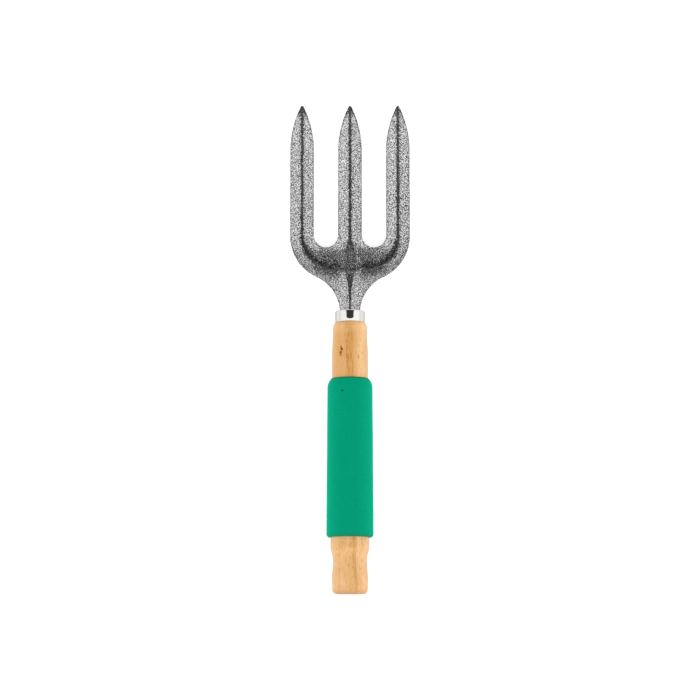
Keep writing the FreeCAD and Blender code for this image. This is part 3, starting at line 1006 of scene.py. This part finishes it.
def foam_material():
    """Closed-cell foam rubber: matt, with small shallow pits, a faintly mottled colour, and painted shade
    in the pits and at both ends.
    """
    material, tree, shader = new_material("foam_rubber", FOAM_ROUGHNESS)
    shader.inputs["Specular IOR Level"].default_value = 0.03
    shader.inputs["Sheen Weight"].default_value = 0.55
    shader.inputs["Sheen Roughness"].default_value = 0.6
    shader.inputs["Sheen Tint"].default_value = FOAM_SHEEN_TINT
    place = scaled_place(tree, (1.0, 1.0, 1.0))
    cells = add(tree, "ShaderNodeTexVoronoi", {"Vector": place, "Scale": 2.4}, feature="SMOOTH_F1")
    mottle = grain(tree, place, 0.7, 3.0, 0.6)
    skin = grain(tree, place, 5.0, 2.0, 0.6)
    colour = blend_colour(tree, between(tree, mottle, 0.35, 0.65), *FOAM_COLOURS)
    # Painted shade in the pits of the cells.
    pit_shade = between(tree, cells, 0.16, 0.04)
    colour = blend_colour(tree, calc(tree, "MULTIPLY", pit_shade, 0.35), colour, FOAM_PIT_SHADE_COLOUR)
    # Painted shade at both ends, where the sleeve meets the wood.
    for station, reach, share in FOAM_END_SHADES:
        from_rim = calc(tree, "SUBTRACT", coordinate(tree, "Y"), station + BUTT)
        end_shade = between(tree, calc(tree, "ABSOLUTE", from_rim), reach, FOAM_END_SHADE_CORE, 0.0, share)
        colour = blend_colour(tree, end_shade, colour, FOAM_END_SHADE_COLOUR)
    dust = between(tree, grain(tree, place, 2.2, 1.0, 0.5), 0.70, 0.76, 0.0, 0.35)
    colour = blend_colour(tree, dust, colour, FOAM_DUST_COLOUR)
    mark = spot(tree, -4.9, 128.7, 1.1, 1.1)
    colour = blend_colour(tree, calc(tree, "MULTIPLY", mark, 0.9), colour, FOAM_MARK_COLOUR)
    tree.links.new(colour, shader.inputs["Base Color"])
    height = calc(tree, "ADD", calc(tree, "MULTIPLY", cells, 0.8), calc(tree, "MULTIPLY", skin, 0.35))
    set_bump(tree, shader, height, FOAM_BUMP)
    return material


def dress(piece, node, material):
    """Puts a piece in place of its CAD node, with its material."""
    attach(piece, "root")
    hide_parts(node)
    piece.data.materials.append(material)


def build_fork():
    dress(build_head(), "fork_head", paint_material())
    dress(build_ferrule(), "ferrule", chrome_material())
    dress(build_handle(), "handle", wood_material())
    grip = build_grip()
    dress(grip, "foam_grip", foam_material())


# Camera, light and floor

# Lengths are in metres, apart from the sensor's, which is in millimetres. VIEW_WIDTH is how much the
# picture's width shows at the aim.
CAMERA_AIM = (0, -0.0034, 0.015)
CAMERA_DISTANCE = 1.5
CAMERA_ELEVATION = math.radians(82)
VIEW_WIDTH = 0.4508
SENSOR = 36.0


def add_camera():
    aim = Vector(CAMERA_AIM)
    towards = Vector((0, -math.cos(CAMERA_ELEVATION), math.sin(CAMERA_ELEVATION)))
    data = bpy.data.cameras.new("camera")
    data.sensor_width = SENSOR
    data.lens = SENSOR * CAMERA_DISTANCE / VIEW_WIDTH
    camera = bpy.data.objects.new("camera", data)
    camera.location = aim + towards * CAMERA_DISTANCE
    camera.rotation_euler = (math.pi / 2 - CAMERA_ELEVATION, 0, 0)
    bpy.context.scene.collection.objects.link(camera)
    bpy.context.scene.camera = camera


# The light is a white dome with a dark opening above the fork, which the camera looks down through.
OPENING_TILT = math.radians(30)
OPENING_HALF_X = math.radians(31)
OPENING_HALF_Y = math.radians(41)
OPENING_EDGE = (0.93, 1.07)
OPENING_LIGHT = 0.05
DOME_LIGHT = 1.55
HORIZON_LIGHT = 1.2
LEFT_SIDE_LIGHT = 0.94


def opening_share(tree, component, ahead, half_angle):
    """A direction's place in the opening along one of its axes, where 1 is the opening's edge."""
    return calc(tree, "DIVIDE", calc(tree, "DIVIDE", component, ahead), math.tan(half_angle))


def add_world():
    world = bpy.data.worlds.new("studio")
    world.use_nodes = True
    tree = world.node_tree
    direction = tree.nodes.new("ShaderNodeTexCoord").outputs["Generated"]
    inputs = {"Vector": direction, "Axis": (1.0, 0.0, 0.0), "Angle": OPENING_TILT}
    upright = add(tree, "ShaderNodeVectorRotate", inputs, rotation_type="AXIS_ANGLE")
    split = tree.nodes.new("ShaderNodeSeparateXYZ")
    tree.links.new(upright, split.inputs[0])
    ahead = calc(tree, "MAXIMUM", split.outputs["Z"], 0.001)
    across = opening_share(tree, split.outputs["X"], ahead, OPENING_HALF_X)
    along = opening_share(tree, split.outputs["Y"], ahead, OPENING_HALF_Y)
    squares = [calc(tree, "MULTIPLY", share, share) for share in (across, along)]
    outside = between(tree, calc(tree, "SQRT", calc(tree, "ADD", *squares)), *OPENING_EDGE)
    world_split = tree.nodes.new("ShaderNodeSeparateXYZ")
    tree.links.new(direction, world_split.inputs[0])
    dome = between(tree, world_split.outputs["Z"], 0.0, 0.45, HORIZON_LIGHT, DOME_LIGHT)
    side = between(tree, world_split.outputs["X"], -0.9, 0.6, LEFT_SIDE_LIGHT, 1.0)
    bright = calc(tree, "MULTIPLY", dome, side)
    range_inputs = {"Value": outside, "To Min": OPENING_LIGHT, "To Max": bright}
    strength = add(tree, "ShaderNodeMapRange", range_inputs)
    background = tree.nodes["Background"]
    background.inputs["Color"].default_value = (1, 1, 1, 1)
    tree.links.new(strength, background.inputs["Strength"])
    bpy.context.scene.world = world


# In metres.
FLOOR_HALF_SIZE = 1.6
FLOOR_DROP = 0.0002
FLOOR_COLOUR = (0.85, 0.85, 0.85, 1.0)
FLOOR_GLOW = 0.50


def add_floor():
    mesh = bmesh.new()
    size = FLOOR_HALF_SIZE
    corners = ((-size, -size), (size, -size), (size, size), (-size, size))
    mesh.faces.new([mesh.verts.new((x, y, -FLOOR_DROP)) for x, y in corners])
    floor = finish_mesh(mesh, "floor")
    material, tree, shader = new_material("white_floor", 0.9)
    shader.inputs["Base Color"].default_value = FLOOR_COLOUR
    shader.inputs["Specular IOR Level"].default_value = 0.1
    shader.inputs["Emission Color"].default_value = (1, 1, 1, 1)
    shader.inputs["Emission Strength"].default_value = FLOOR_GLOW
    floor.data.materials.append(material)


build_fork()
add_camera()
add_world()
add_floor()
bpy.context.scene.view_settings.view_transform = "Standard"
# The paint's pattern is as fine as a pixel, so the denoiser is given it unsmoothed.
bpy.context.scene.cycles.denoising_prefilter = "NONE"
